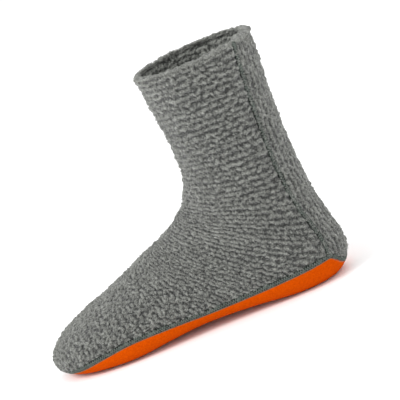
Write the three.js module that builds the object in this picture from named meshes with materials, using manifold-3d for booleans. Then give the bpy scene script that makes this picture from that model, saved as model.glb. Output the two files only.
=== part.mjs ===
// A fleece bed sock, standing empty on its sole.
// It is sewn from three panels of thick fleece cloth: an upper that wraps the front of the leg and the
// foot, a straight back panel that runs down the leg and round the heel, and a sole turned up at the
// sides. Flat overlocked seams cover the joins.
// Millimetres. +Z is up, the toe points along -X, and the origin is under the middle, on the floor.
import * as THREE from "three";
import { mergeVertices } from "three/addons/utils/BufferGeometryUtils.js";
import Module from "manifold-3d";

const wasm = await Module();
wasm.setup();

// Driving sizes of the outside of the cloth
const LENGTH = 272; // back of the heel to the tip of the toe
const HEIGHT = 214; // floor to collar
const COLLAR_DEPTH = 102; // front to back at the collar
const COLLAR_WIDTH = 86; // side to side at the collar
const LEG_DEPTH = 91; // front to back where the leg is slimmest
const LEG_WIDTH = 75; // side to side there
const ANKLE_HEIGHT = 112; // floor to the bend at the front of the ankle
const HEEL_WIDTH = 70;
const HEEL_BULGE = 9; // how far the heel stands behind the leg
const BALL_WIDTH = 98;
const TOE_TIP_HEIGHT = 15; // height of the foremost point of the toe
const LEAN = 3; // how far the collar leans back over the heel
const WALL = 3.6; // thickness of the fleece
const COLLAR_ROUND = 1; // rounding of the folded collar edge
const SOLE_RISE = 20; // how high the sole cloth turns up beside the heel
const BACK_PANEL_HALF = 25; // half width of the back panel, side to side
const BACK_PANEL_WRAP = 12; // how far its edges lie in front of the back line
const BACK_PANEL_TAPER = 30; // how much farther in front the two cuts along its edges would meet
const SEAM_WIDTH = 4.4; // a flat overlocked seam
const SEAM_PROUD = 0.4; // its threads above the cloth
const SEAM_SINK = 0.8; // how deep it presses into the pile
const GAP = 0.3; // clearance between neighbouring pieces

// Fineness of the meshes
const AROUND = 34; // facets round a section
const PER_ROW = 2; // rings between two rows of a table
const TIP_RINGS = 5; // rings that close the toe
const EDGE_STEPS = 3; // points of the sole's edge between two rows of its table

const LEG_FRONT = HEEL_BULGE + LEG_DEPTH;

// The leg, from the collar down. up: share of the way from ankle to collar. flare: share of the way
// from the slimmest size to the collar's. set: share of the heel's bulge that the back stands in.
const LEG_ROWS = [
  { up: 1.0, flare: 1.0, set: 0.5 },
  { up: 0.7, flare: 0.5, set: 0.78 },
  { up: 0.34, flare: 0.1, set: 1.0 },
];

// The ankle, heel and foot, each row a cut through the form that fans round the ankle's bend.
// front: along, the share of the way from the leg's front to the toe, and high, a share of the ankle's
// height. back: the same for the cut's rear or lower end, its along a share of the whole length.
// wide: a share of the heel's width before the arch, and of the ball's from there on. broad: where
// along the cut, from its lower end, it is widest. flat: how square its lower end is, 2 for an oval.
const HEEL_ROWS = [
  { frontAlong: 0.02, frontHigh: 1.05, backAlong: 0.034, backHigh: 0.93, wide: 1.03, broad: 0.5, flat: 2.0 },
  { frontAlong: 0.072, frontHigh: 0.9, backAlong: 0.024, backHigh: 0.6, wide: 1.0, broad: 0.47, flat: 2.0 },
  { frontAlong: 0.125, frontHigh: 0.825, backAlong: 0.0, backHigh: 0.27, wide: 1.0, broad: 0.43, flat: 2.1 },
  { frontAlong: 0.16, frontHigh: 0.787, backAlong: 0.01, backHigh: 0.1, wide: 1.0, broad: 0.41, flat: 2.3 },
  { frontAlong: 0.2, frontHigh: 0.75, backAlong: 0.055, backHigh: 0.005, wide: 1.01, broad: 0.38, flat: 2.7 },
  { frontAlong: 0.255, frontHigh: 0.71, backAlong: 0.16, backHigh: -0.015, wide: 1.03, broad: 0.35, flat: 3.4 },
];
const FOOT_ROWS = [
  { frontAlong: 0.325, frontHigh: 0.668, backAlong: 0.31, backHigh: 0.014, wide: 0.78, broad: 0.33, flat: 3.4 },
  { frontAlong: 0.41, frontHigh: 0.612, backAlong: 0.46, backHigh: 0.03, wide: 0.85, broad: 0.32, flat: 3.4 },
  { frontAlong: 0.515, frontHigh: 0.54, backAlong: 0.585, backHigh: 0.012, wide: 0.94, broad: 0.33, flat: 3.6 },
  { frontAlong: 0.63, frontHigh: 0.465, backAlong: 0.7, backHigh: -0.014, wide: 1.0, broad: 0.35, flat: 3.8 },
  { frontAlong: 0.76, frontHigh: 0.395, backAlong: 0.81, backHigh: -0.014, wide: 1.0, broad: 0.38, flat: 3.6 },
  { frontAlong: 0.88, frontHigh: 0.335, backAlong: 0.908, backHigh: -0.01, wide: 0.97, broad: 0.42, flat: 3.2 },
  { frontAlong: 1.0, frontHigh: 0.28, backAlong: 1.0, backHigh: 0.0, wide: 0.9, broad: 0.46, flat: 2.6 },
];
const UNDER_HEEL_ROW = LEG_ROWS.length + 3.5; // where a cut meets the back of the heel's flat spot
const TOE_START_ROW = LEG_ROWS.length + HEEL_ROWS.length + 3; // the ball, where the toe begins to close

// The sole's upper edge seen from the side. along: share of the length. rise: share of the sole's rise.
const SOLE_EDGE_ROWS = [
  { along: 1.08, rise: 0.3 },
  { along: 0.98, rise: 0.32 },
  { along: 0.9, rise: 0.46 },
  { along: 0.8, rise: 0.74 },
  { along: 0.7, rise: 0.93 },
  { along: 0.58, rise: 0.93 },
  { along: 0.44, rise: 0.86 },
  { along: 0.28, rise: 0.89 },
  { along: 0.14, rise: 0.98 },
  { along: 0.042, rise: 1.05 },
];
const HEEL_EDGE_END = { along: -0.01, rise: -0.25 }; // where the straight edge under the heel runs out

// Both tables as sections in millimetres, with the heel's back at x = 0 and the toe along +x
function legSection({ up, flare, set }) {
  const z = ANKLE_HEIGHT + up * (HEIGHT - ANKLE_HEIGHT);
  const backX = HEEL_BULGE * set - LEAN * up;
  const depth = LEG_DEPTH + flare * (COLLAR_DEPTH - LEG_DEPTH);
  const width = LEG_WIDTH + flare * (COLLAR_WIDTH - LEG_WIDTH);
  return { frontX: backX + depth, frontZ: z, backX, backZ: z, width, broad: 0.5, flat: 2 };
}

function footSection(row, widest) {
  return {
    frontX: LEG_FRONT + row.frontAlong * (LENGTH - LEG_FRONT),
    frontZ: row.frontHigh * ANKLE_HEIGHT,
    backX: row.backAlong * LENGTH,
    backZ: row.backHigh * ANKLE_HEIGHT,
    width: row.wide * widest,
    broad: row.broad,
    flat: row.flat,
  };
}

const SECTIONS = [
  ...LEG_ROWS.map(legSection),
  ...HEEL_ROWS.map((row) => footSection(row, HEEL_WIDTH)),
  ...FOOT_ROWS.map((row) => footSection(row, BALL_WIDTH)),
];
const LAST = SECTIONS.length - 1;

// One column of the sections at place s, counted in rows: a smooth curve through the rows, which goes
// straight on past the first one
function column(name, s) {
  if (s < 0) return column(name, 0) + s * (column(name, 1) - column(name, 0));
  const row = Math.min(Math.floor(s), LAST - 1);
  const t = s - row;
  const [a, b, c, d] = [row - 1, row, row + 1, row + 2].map(
    (i) => SECTIONS[THREE.MathUtils.clamp(i, 0, LAST)][name],
  );
  return 0.5 * (2 * b + t * (c - a) + t * t * (2 * a - 5 * b + 4 * c - d) + t ** 3 * (3 * b - a - 3 * c + d));
}

// How much of a size is left at share u of the way into the toe: round, by a superellipse, and the
// larger late is, the longer it keeps its size
const TOE_TOP = { late: 4, round: 2 };
const TOE_UNDER = { late: 6, round: 2 };
const TOE_SIDES = { late: 3, round: 2.2 };
const closing = (u, { late, round }) => (u > 0 ? Math.max(1 - u ** late, 0) ** (1 / round) : 1);

// The section at place s, with the toe closed round its tip
function sectionAt(s) {
  const at = Object.fromEntries(Object.keys(SECTIONS[0]).map((name) => [name, column(name, s)]));
  const ball = SECTIONS[TOE_START_ROW];
  const u = THREE.MathUtils.clamp((at.backX - ball.backX) / (LENGTH - ball.backX), 0, 1);
  at.frontZ = TOE_TIP_HEIGHT + (at.frontZ - TOE_TIP_HEIGHT) * closing(u, TOE_TOP);
  at.backZ = TOE_TIP_HEIGHT + (at.backZ - TOE_TIP_HEIGHT) * closing(u, TOE_UNDER);
  at.width *= closing(u, TOE_SIDES);
  return at;
}

const power = (value, exponent) => Math.sign(value) * Math.abs(value) ** exponent;

// A point of a section's outline at angle a round it, from the front over the side: half ovals that
// meet at the broadest place, the lower one squarer under the foot
const TOP_FLAT = 2.1; // how square the front or upper half is
function outlinePoint(at, a) {
  const upper = Math.cos(a) > 0;
  const square = upper ? TOP_FLAT : at.flat;
  const along = at.broad + (upper ? 1 - at.broad : at.broad) * power(Math.cos(a), 2 / square);
  const y = (at.width / 2) * power(Math.sin(a), 2 / square);
  const x = THREE.MathUtils.lerp(at.backX, at.frontX, along);
  return new THREE.Vector3(x, y, THREE.MathUtils.lerp(at.backZ, at.frontZ, along));
}

// The outline of the form at place s, moved outwards by a distance along the surface's own normals,
// which come from two short steps along and round the form
function ringAt(s, grown) {
  const STEP = 0.02;
  const [at, before, after] = [s, s - STEP, Math.min(s + STEP, LAST - 1e-3)].map(sectionAt);
  return Array.from({ length: AROUND }, (_, i) => {
    const a = (i / AROUND) * 2 * Math.PI;
    const down = outlinePoint(after, a).sub(outlinePoint(before, a));
    const round = outlinePoint(at, a + STEP).sub(outlinePoint(at, a - STEP));
    return outlinePoint(at, a).addScaledVector(down.cross(round).normalize(), grown);
  });
}

// Places of the rings: evenly between rows, and closer and closer towards the toe's tip
function ringPlaces() {
  const even = (LAST - 1) * PER_ROW;
  const places = Array.from({ length: even + 1 }, (_, i) => i / PER_ROW);
  for (let i = 1; i <= TIP_RINGS; i++) {
    const turn = (i / TIP_RINGS) * (Math.PI / 2);
    places.push(LAST - 1 + 0.995 * Math.sin(turn));
  }
  return places;
}

// A closed solid from a triangle list, its faces turned outwards
function solidOf(geometry) {
  geometry.deleteAttribute("normal");
  geometry.deleteAttribute("uv");
  const merged = mergeVertices(geometry, 1e-4);
  const triVerts = new Uint32Array(merged.index.array);
  const vertProperties = merged.attributes.position.array;
  const made = new wasm.Manifold(new wasm.Mesh({ numProp: 3, vertProperties, triVerts }));
  if (made.volume() >= 0) return made;
  for (let i = 0; i < triVerts.length; i += 3) {
    [triVerts[i + 1], triVerts[i + 2]] = [triVerts[i + 2], triVerts[i + 1]];
  }
  return new wasm.Manifold(new wasm.Mesh({ numProp: 3, vertProperties, triVerts }));
}

// A solid lofted through rings of points, its two ends closed by fans
function loft(rings) {
  const count = rings[0].length;
  const points = rings.flat();
  const index = [];
  for (let r = 0; r + 1 < rings.length; r++) {
    for (let i = 0; i < count; i++) {
      const [a, b] = [r * count + i, r * count + ((i + 1) % count)];
      index.push(a, a + count, b, b, a + count, b + count);
    }
  }
  [0, rings.length - 1].forEach((r) => {
    const middle = points.length;
    points.push(rings[r].reduce((sum, p) => sum.add(p), new THREE.Vector3()).divideScalar(count));
    for (let i = 0; i < count; i++) {
      const [a, b] = [r * count + i, r * count + ((i + 1) % count)];
      index.push(middle, ...(r === 0 ? [a, b] : [b, a]));
    }
  });
  return solidOf(new THREE.BufferGeometry().setFromPoints(points).setIndex(index));
}

// The form grown outwards by a distance, with its foot kept level at a height over the floor. The
// edge at the collar is rounded off, or the form runs on past the collar by an overrun.
function form(grown, { floor = 0, round = 0, overrun = 0 } = {}) {
  const firstRow = SECTIONS[0].frontZ - SECTIONS[1].frontZ;
  const places = ringPlaces();
  const rings = places.map((s) => ringAt(s, grown));
  if (round) rings.splice(0, 1, ringAt(0, grown - round), ringAt(round / firstRow, grown));
  if (overrun) rings.unshift(ringAt(-overrun / firstRow, grown));
  rings.flat().forEach((point) => {
    point.z = Math.max(point.z, floor);
  });
  return loft(rings);
}

// A flat shape seen from the side, x along the sock and y up, as a solid right through it
function sideSolid(points) {
  const across = 2 * Math.max(BALL_WIDTH, COLLAR_WIDTH, HEEL_WIDTH);
  const shape = new THREE.Shape(points);
  const geometry = new THREE.ExtrudeGeometry(shape, { depth: across, bevelEnabled: false });
  geometry.translate(0, 0, -across / 2).rotateX(Math.PI / 2);
  return solidOf(geometry);
}

// The sole's upper edge from the side, moved up by a distance: a curve from toe to heel and a straight
// end down under the heel
function soleEdge(raised) {
  const place = ({ along, rise }) => new THREE.Vector2(along * LENGTH, rise * SOLE_RISE);
  const spline = new THREE.SplineCurve(SOLE_EDGE_ROWS.map(place));
  const curve = spline.getPoints(EDGE_STEPS * (SOLE_EDGE_ROWS.length - 1));
  const path = [...curve, place(HEEL_EDGE_END)];
  return path.map((point, i) => {
    const before = path[Math.max(i - 1, 0)];
    const after = path[Math.min(i + 1, path.length - 1)];
    const into = point.clone().sub(before).normalize();
    const out = after.clone().sub(point).normalize();
    const along = into.add(out).normalize();
    return point.clone().add(new THREE.Vector2(along.y, -along.x).multiplyScalar(raised));
  });
}

// All that lies under the sole's edge, raised by a distance
function belowSoleEdge(raised) {
  const edge = soleEdge(raised);
  const under = -LENGTH / 4;
  return sideSolid([...edge, new THREE.Vector2(edge.at(-1).x, under), new THREE.Vector2(edge[0].x, under)]);
}

// The room of the back panel, widened by a distance: a wedge that follows the back of leg and heel,
// from above the collar to under the heel
function backWedge(widened) {
  const slope = BACK_PANEL_HALF / BACK_PANEL_TAPER;
  const behind = BACK_PANEL_HALF;
  const tip = BACK_PANEL_WRAP + BACK_PANEL_TAPER + (widened * Math.hypot(1, slope)) / slope;
  const half = (tip + behind) * slope;
  const rings = [];
  for (let s = -1 / PER_ROW; s <= UNDER_HEEL_ROW; s += 1 / PER_ROW) {
    const at = sectionAt(s);
    const back = new THREE.Vector3(at.backX, 0, at.backZ);
    const inward = new THREE.Vector3(at.frontX, 0, at.frontZ).sub(back).normalize();
    const rear = back.clone().addScaledVector(inward, -behind);
    rings.push([
      back.clone().addScaledVector(inward, tip),
      rear.clone().setY(half),
      rear.clone().setY(-half),
    ]);
  }
  return loft(rings);
}

// The cloth shell, the skin that holds the seams' threads, and all that lies outside the bottom of
// their grooves
const PAST = 2 * WALL; // how far a tool runs on past what it cuts
const shell = form(0, { round: COLLAR_ROUND }).subtract(form(-WALL, { floor: WALL, overrun: PAST }));
const threads = form(SEAM_PROUD).subtract(form(-SEAM_SINK));
const pressed = form(PAST, { overrun: PAST, floor: -PAST }).subtract(
  form(-SEAM_SINK - GAP, { overrun: PAST }),
);

// The room of each seam, and the room that the cloth leaves free for it
const half = SEAM_WIDTH / 2;
const soleSeamRoom = (more) => belowSoleEdge(half + more).subtract(belowSoleEdge(-half - more));
const backSeamRoom = (more) =>
  backWedge(half + more).subtract(backWedge(-half - more)).subtract(belowSoleEdge(half + GAP - more));
const grooves = soleSeamRoom(GAP).add(backSeamRoom(GAP)).intersect(pressed);

const cloth = shell.subtract(grooves);
const aboveSole = cloth.subtract(belowSoleEdge(GAP / 2));
const backSeams = threads.intersect(backSeamRoom(0)).decompose();
const sideOf = (solid) => {
  const { min, max } = solid.boundingBox();
  return (min[1] + max[1]) / 2;
};

const FLEECE = { color: 0x74766f, roughness: 0.95, metalness: 0 };
const THREAD = { color: 0x4e5651, roughness: 0.8, metalness: 0 };
const SOLE_CLOTH = { color: 0xcf4f01, roughness: 0.85, metalness: 0 };

function piece(name, solid, finish) {
  const { vertProperties, triVerts, numProp } = solid.getMesh();
  const geometry = new THREE.BufferGeometry();
  const positions = new Float32Array((vertProperties.length / numProp) * 3);
  for (let i = 0; i < positions.length / 3; i++) {
    positions.set(vertProperties.subarray(i * numProp, i * numProp + 3), i * 3);
  }
  geometry.setAttribute("position", new THREE.BufferAttribute(positions, 3));
  geometry.setIndex(new THREE.BufferAttribute(triVerts, 1));
  const mesh = new THREE.Mesh(geometry, new THREE.MeshStandardMaterial(finish));
  mesh.name = name;
  return mesh;
}

const sock = new THREE.Group();
sock.add(
  piece("upper", aboveSole.subtract(backWedge(GAP / 2)), FLEECE),
  piece("back_panel", aboveSole.intersect(backWedge(-GAP / 2)), FLEECE),
  piece("sole", cloth.intersect(belowSoleEdge(-GAP / 2)), SOLE_CLOTH),
  piece("sole_seam", threads.intersect(soleSeamRoom(0)), THREAD),
  piece("back_seam_near", backSeams.find((solid) => sideOf(solid) > 0), THREAD),
  piece("back_seam_far", backSeams.find((solid) => sideOf(solid) < 0), THREAD),
);

// The toe points along -X, and the origin lies under the middle of the sock
const box = new THREE.Box3().setFromObject(sock);
sock.rotation.z = Math.PI;
sock.position.x = (box.min.x + box.max.x) / 2;

export default sock;
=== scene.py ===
# %% [markdown]
# # A fleece bed sock
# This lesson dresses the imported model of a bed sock: curly grey fleece, a smooth orange sole and dark
# overlocked seams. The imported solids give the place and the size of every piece. Each visible piece is
# a surface that numpy works out as whole arrays, on the same table of cuts as the solids, so it stands
# where its solid does.

import math

import bmesh
import bpy
import numpy as np
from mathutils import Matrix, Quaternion, Vector


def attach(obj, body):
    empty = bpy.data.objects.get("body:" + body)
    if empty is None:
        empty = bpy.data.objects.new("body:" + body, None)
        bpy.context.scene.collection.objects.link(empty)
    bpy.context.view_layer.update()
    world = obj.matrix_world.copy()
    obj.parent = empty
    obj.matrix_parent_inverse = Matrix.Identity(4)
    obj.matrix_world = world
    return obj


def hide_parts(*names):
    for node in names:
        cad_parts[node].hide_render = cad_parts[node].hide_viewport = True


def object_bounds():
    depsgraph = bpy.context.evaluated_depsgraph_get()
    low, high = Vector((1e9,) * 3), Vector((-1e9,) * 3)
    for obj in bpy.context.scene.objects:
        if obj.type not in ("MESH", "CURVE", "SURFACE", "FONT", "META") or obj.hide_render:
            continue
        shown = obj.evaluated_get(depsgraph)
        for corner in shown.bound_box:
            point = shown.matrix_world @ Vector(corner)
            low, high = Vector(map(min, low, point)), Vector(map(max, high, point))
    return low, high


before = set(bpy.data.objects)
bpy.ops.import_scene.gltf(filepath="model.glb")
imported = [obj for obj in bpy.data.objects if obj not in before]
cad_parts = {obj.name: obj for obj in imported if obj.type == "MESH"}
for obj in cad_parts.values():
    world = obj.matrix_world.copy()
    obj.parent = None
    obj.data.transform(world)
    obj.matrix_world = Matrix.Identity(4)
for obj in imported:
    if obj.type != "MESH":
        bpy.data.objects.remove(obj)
cad_low, cad_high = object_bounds()
print("the packed sock is", [round(1000 * x) for x in cad_high - cad_low], "mm")

# %% [markdown]
# ## Camera
# The sock in the photo is seen almost from the side, a little from behind and from above, and its leg
# leans to the left. Here the sole lies flat on the floor, so the camera keeps its place beside the
# leg and is rolled about its own axis until the leg leans as much. A long lens keeps the lines calm,
# as in a catalogue.

# %% Place the camera
CAMERA_AROUND = math.radians(15)  # towards the heel from straight beside the sock
CAMERA_ABOVE = math.radians(14)
CAMERA_ROLL = math.radians(25)
CAMERA_AWAY = 1.5  # metres
LENS, SENSOR = 163.0, 36.0  # millimetres
AIM = Vector((0.0362, 0.0078, 0.0956))  # metres, the point in the middle of the picture


def add_object(name, data):
    """A new object in the scene."""
    made = bpy.data.objects.new(name, data)
    bpy.context.scene.collection.objects.link(made)
    return made


camera_data = bpy.data.cameras.new("camera")
camera_data.lens, camera_data.sensor_width = LENS, SENSOR
camera = add_object("camera", camera_data)
bpy.context.scene.camera = camera
towards_camera = Vector(
    (
        math.sin(CAMERA_AROUND) * math.cos(CAMERA_ABOVE),
        -math.cos(CAMERA_AROUND) * math.cos(CAMERA_ABOVE),
        math.sin(CAMERA_ABOVE),
    )
)
camera.location = AIM + towards_camera * CAMERA_AWAY
camera.rotation_mode = "QUATERNION"
upright = (-towards_camera).to_track_quat("-Z", "Y")
camera.rotation_quaternion = upright @ Quaternion((0, 0, 1), -CAMERA_ROLL)
print("the camera stands", round(camera.location.z, 2), "m over the floor")

# %% [markdown]
# ## Light and floor
# Product photos of cloth use large soft lamps, so that the pile shows by its own small shadows. One
# large lamp stands above and in front of the toe, a weaker one fills the heel's side, and a pale
# world lifts the shadows. A single sun would be simpler, but its hard shadows make wool look like
# gravel.


# %% Light the sock
def soft_lamp(name, place, size, power):
    """One square lamp that looks at the sock's middle: place and size in metres, power in watts."""
    lamp = bpy.data.lights.new(name, "AREA")
    lamp.size, lamp.energy = size, power
    made = add_object(name, lamp)
    made.location = place
    made.rotation_mode = "QUATERNION"
    made.rotation_quaternion = (LAMP_TARGET - Vector(place)).to_track_quat("-Z", "Y")


LAMP_TARGET = Vector((0.0, 0.0, 0.09))
soft_lamp("key_lamp", (-1.3, -0.9, 1.5), 0.9, 26)
soft_lamp("fill_lamp", (1.5, -0.9, 0.9), 1.2, 5)
soft_lamp("back_lamp", (0.2, 1.6, 1.2), 1.2, 8)

WORLD_STRENGTH = 1.05
world = bpy.data.worlds.new("studio")
world.use_nodes = True
background = world.node_tree.nodes["Background"]
background.inputs["Color"].default_value = (1, 1, 1, 1)
background.inputs["Strength"].default_value = WORLD_STRENGTH
bpy.context.scene.world = world
bpy.context.scene.view_settings.view_transform = "Standard"
print("three lamps of", [round(lamp.energy) for lamp in bpy.data.lights], "watts")

# %% [markdown]
# The floor is one pale disc, wide enough for every view. It lies a little under the sole, so that the
# two never share a plane.

# %% Lay the floor
FLOOR_RADIUS, FLOOR_POINTS = 9, 96
FLOOR_BELOW = 0.0006  # metres under the sole
FLOOR_GREY = 0.96
floor_material = bpy.data.materials.new("pale_floor")
floor_material.use_nodes = True
floor_shader = floor_material.node_tree.nodes["Principled BSDF"]
floor_shader.inputs["Base Color"].default_value = (FLOOR_GREY, FLOOR_GREY, FLOOR_GREY, 1)
floor_shader.inputs["Roughness"].default_value = 0.9
floor_mesh = bpy.data.meshes.new("floor")
turn = np.linspace(0, 2 * np.pi, FLOOR_POINTS, endpoint=False)
disc = [FLOOR_RADIUS * np.cos(turn), FLOOR_RADIUS * np.sin(turn), np.full(FLOOR_POINTS, -FLOOR_BELOW)]
floor_mesh.from_pydata(np.stack(disc, axis=1).tolist(), [], [list(range(FLOOR_POINTS))])
floor_mesh.materials.append(floor_material)
floor = add_object("floor", floor_mesh)
print("the floor is", 2 * FLOOR_RADIUS, "m across")

# %% [markdown]
# ## The form of the sock
# A sock is a tube with a bend, so its form is a row of cuts that fan round the ankle. Each cut is an
# oval from the front of the leg, or the top of the foot, to the back, or the sole. A modeller could
# also push a box about by hand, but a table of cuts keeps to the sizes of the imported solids, and any
# point of the cloth can be asked for by two numbers: a place along the sock and an angle round it.
# The sizes and tables are those of the model, in millimetres, with the heel at 0 and the toe along x.

# %% Sizes of the form
LENGTH, HEIGHT = 272.0, 214.0
COLLAR_DEPTH, COLLAR_WIDTH = 102.0, 86.0
LEG_DEPTH, LEG_WIDTH = 91.0, 75.0
ANKLE_HEIGHT, HEEL_WIDTH, HEEL_BULGE = 112.0, 70.0, 9.0
BALL_WIDTH, TOE_TIP_HEIGHT, LEAN, WALL = 98.0, 15.0, 3.0, 3.6
SOLE_RISE, PANEL_HALF, PANEL_WRAP, PANEL_TAPER = 20.0, 25.0, 12.0, 30.0
SEAM_WIDTH = 4.4
LEG_FRONT = HEEL_BULGE + LEG_DEPTH
print("the leg's front stands", LEG_FRONT, "mm from the heel")

# %% Tables of the form
# share of the way up, share of the collar's flare, share of the heel's bulge
leg_rows = np.array([[1.0, 1.0, 0.5], [0.7, 0.5, 0.78], [0.34, 0.1, 1.0]])
# front along, front high, back along, back high, wide, broadest at, squareness of the lower half
heel_rows = np.array(
    [
        [0.02, 1.05, 0.034, 0.93, 1.03, 0.50, 2.0],
        [0.072, 0.9, 0.024, 0.6, 1.0, 0.47, 2.0],
        [0.125, 0.825, 0.0, 0.27, 1.0, 0.43, 2.1],
        [0.16, 0.787, 0.01, 0.1, 1.0, 0.41, 2.3],
        [0.2, 0.75, 0.055, 0.005, 1.01, 0.38, 2.7],
        [0.255, 0.71, 0.16, -0.015, 1.03, 0.35, 3.4],
    ]
)
foot_rows = np.array(
    [
        [0.325, 0.668, 0.31, 0.014, 0.78, 0.33, 3.4],
        [0.41, 0.612, 0.46, 0.03, 0.85, 0.32, 3.4],
        [0.515, 0.54, 0.585, 0.012, 0.94, 0.33, 3.6],
        [0.63, 0.465, 0.7, -0.014, 1.0, 0.35, 3.8],
        [0.76, 0.395, 0.81, -0.014, 1.0, 0.38, 3.6],
        [0.88, 0.335, 0.908, -0.01, 0.97, 0.42, 3.2],
        [1.0, 0.28, 1.0, 0.0, 0.9, 0.46, 2.6],
    ]
)
# the sole's upper edge from the side: share of the length, share of the sole's rise
edge_rows = np.array(
    [
        [1.08, 0.3],
        [0.98, 0.32],
        [0.9, 0.46],
        [0.8, 0.74],
        [0.7, 0.93],
        [0.58, 0.93],
        [0.44, 0.86],
        [0.28, 0.89],
        [0.14, 0.98],
        [0.042, 1.05],
    ]
)
print(len(leg_rows), "cuts of the leg,", len(heel_rows), "of the heel,", len(foot_rows), "of the foot")


# %% From shares to millimetres
def leg_cuts(rows):
    """Each row of the leg as front x, front z, back x, back z, width, broadest place, squareness."""
    up, flare, bulge = rows.T
    z = ANKLE_HEIGHT + up * (HEIGHT - ANKLE_HEIGHT)
    back = HEEL_BULGE * bulge - LEAN * up
    depth = LEG_DEPTH + flare * (COLLAR_DEPTH - LEG_DEPTH)
    width = LEG_WIDTH + flare * (COLLAR_WIDTH - LEG_WIDTH)
    oval = np.ones_like(up)
    return np.stack([back + depth, z, back, z, width, 0.5 * oval, 2 * oval], axis=1)


def foot_cuts(rows, widest):
    """The same for the heel and the foot, whose rows hold shares of the sizes."""
    made = rows.copy()
    made[:, 0] = LEG_FRONT + rows[:, 0] * (LENGTH - LEG_FRONT)
    made[:, 1] = rows[:, 1] * ANKLE_HEIGHT
    made[:, 2] = rows[:, 2] * LENGTH
    made[:, 3] = rows[:, 3] * ANKLE_HEIGHT
    made[:, 4] = rows[:, 4] * widest
    return made


cuts = np.concatenate(
    [leg_cuts(leg_rows), foot_cuts(heel_rows, HEEL_WIDTH), foot_cuts(foot_rows, BALL_WIDTH)]
)
LAST = len(cuts) - 1
BALL_ROW = len(leg_rows) + len(heel_rows) + 3
UNDER_HEEL = len(leg_rows) + 3.5
print(len(cuts), "cuts from the collar to the toe, the ball at", BALL_ROW)


# %% A smooth line through the cuts
def smooth_rows(table, s):
    """A smooth curve through the rows at place s: half of 2b + t(c-a) + t2(2a-5b+4c-d) + t3(3b-a-3c+d),
    straight on before the first row."""
    s = np.asarray(s, float)[..., None]
    row = np.clip(np.floor(s), 0, len(table) - 2).astype(int)[..., 0]
    t = np.maximum(s, 0) - row[..., None]
    last = len(table) - 1
    a, b, c, d = (table[np.clip(row + i, 0, last)] for i in (-1, 0, 1, 2))
    curve = 2 * b + t * (c - a) + t**2 * (2 * a - 5 * b + 4 * c - d) + t**3 * (3 * b - a - 3 * c + d)
    return 0.5 * curve + np.minimum(s, 0) * (table[1] - table[0])


def closing(u, late, round_):
    """What is left of a size at share u into the toe: one minus u to the power late, rooted."""
    return np.maximum(1 - np.clip(u, 0, 1) ** late, 0) ** (1 / round_)


def cut_at(s):
    """The cut at place s, with the toe closed round its tip."""
    cut = smooth_rows(cuts, s)
    ball = cuts[BALL_ROW, 2]
    u = np.clip((cut[..., 2] - ball) / (LENGTH - ball), 0, 1)
    cut[..., 1] = TOE_TIP_HEIGHT + (cut[..., 1] - TOE_TIP_HEIGHT) * closing(u, 4, 2)
    cut[..., 3] = TOE_TIP_HEIGHT + (cut[..., 3] - TOE_TIP_HEIGHT) * closing(u, 6, 2)
    cut[..., 4] *= closing(u, 3, 2.2)
    return cut


ball_cut = cut_at(np.array([float(BALL_ROW)]))[0]
ball_sizes = [round(ball_cut[4]), round(ball_cut[1] - ball_cut[3])]
print("at the ball the sock is", ball_sizes, "mm wide and high")


# %% [markdown]
# A cut is not quite an ellipse. Its lower half is squarer under the foot, so that the sole is flat and
# turns up at its sides. A superellipse does that with one more number, the power of its two halves.

# %% The surface as a function of place and angle
UPPER_POWER = 2.1  # power of each cut's upper half, where 2 would be an ellipse
NORMAL_STEP = 0.004  # in places and in radians


def unit(vectors):
    """Each vector divided by its length."""
    return vectors / np.maximum(np.linalg.norm(vectors, axis=-1, keepdims=True), 1e-9)


def outline(s, angle):
    """The point at place s and at an angle round the cut, from the front over the near side: two half
    ovals, |cos|^n + |sin|^n = 1 along each ray, that meet where the cut is broadest."""
    cut = cut_at(s)
    front_x, front_z, back_x, back_z, width, broad, square = np.moveaxis(cut, -1, 0)
    cos, sin = np.cos(angle), np.sin(angle)
    n = np.where(cos > 0, UPPER_POWER, square)
    ray = (np.abs(cos) ** n + np.abs(sin) ** n) ** (-1 / n)
    along = broad + np.where(cos > 0, 1 - broad, broad) * ray * cos
    x = back_x + along * (front_x - back_x)
    z = back_z + along * (front_z - back_z)
    return np.stack([x, width / 2 * ray * sin, z], axis=-1)


def surface_normal(s, angle):
    """The outward normal: a short step along the sock crossed with a short step round it."""
    after = np.minimum(s + NORMAL_STEP, LAST - 1e-4)
    down = outline(after, angle) - outline(after - 2 * NORMAL_STEP, angle)
    around = outline(s, angle + NORMAL_STEP) - outline(s, angle - NORMAL_STEP)
    return unit(np.cross(down, around))


tip = outline(np.array([LAST - 1e-4]), 0.0)[0]
print("the toe's tip is at", round(tip[0]), "mm along and", round(tip[2]), "high")

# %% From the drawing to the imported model
heel_end = min(outline(np.linspace(4, 8, 81), np.pi)[:, 0])


def to_row_frame(points):
    """From the drawing's millimetres, toe along +x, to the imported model's metres, toe along -X. The
    heel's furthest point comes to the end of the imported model's box."""
    turned = np.stack([-points[..., 0], -points[..., 1], points[..., 2]], axis=-1)
    turned[..., 0] += 1000 * cad_high.x + heel_end
    return turned / 1000


def lifted(s, angle, lift, floor=0.0, relief=0.0):
    """The surface moved out along its normal and kept above a floor, with a relief on top of that."""
    normal = surface_normal(s, angle)
    points = outline(s, angle) + normal * np.asarray(lift)[..., None]
    points[..., 2] = np.maximum(points[..., 2], floor)
    return points + normal * np.asarray(relief)[..., None]


print("the heel's furthest point is", round(heel_end, 1), "mm along in the drawing")

# %% [markdown]
# ## Where the panels meet
# The sole's edge is a curve drawn on the side view, and the back panel lies between two slanting
# cuts. Both are signs of a number that is worked out on the surface: above or below the edge, inside
# or outside the cuts. A border angle is found where the sign changes. Cutting the mesh with a knife
# would do the same once, but would leave ragged cells along every seam.

# %% Borders of the panels
edge_curve = smooth_rows(edge_rows * [LENGTH, SOLE_RISE], np.linspace(0, len(edge_rows) - 1, 400))
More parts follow.
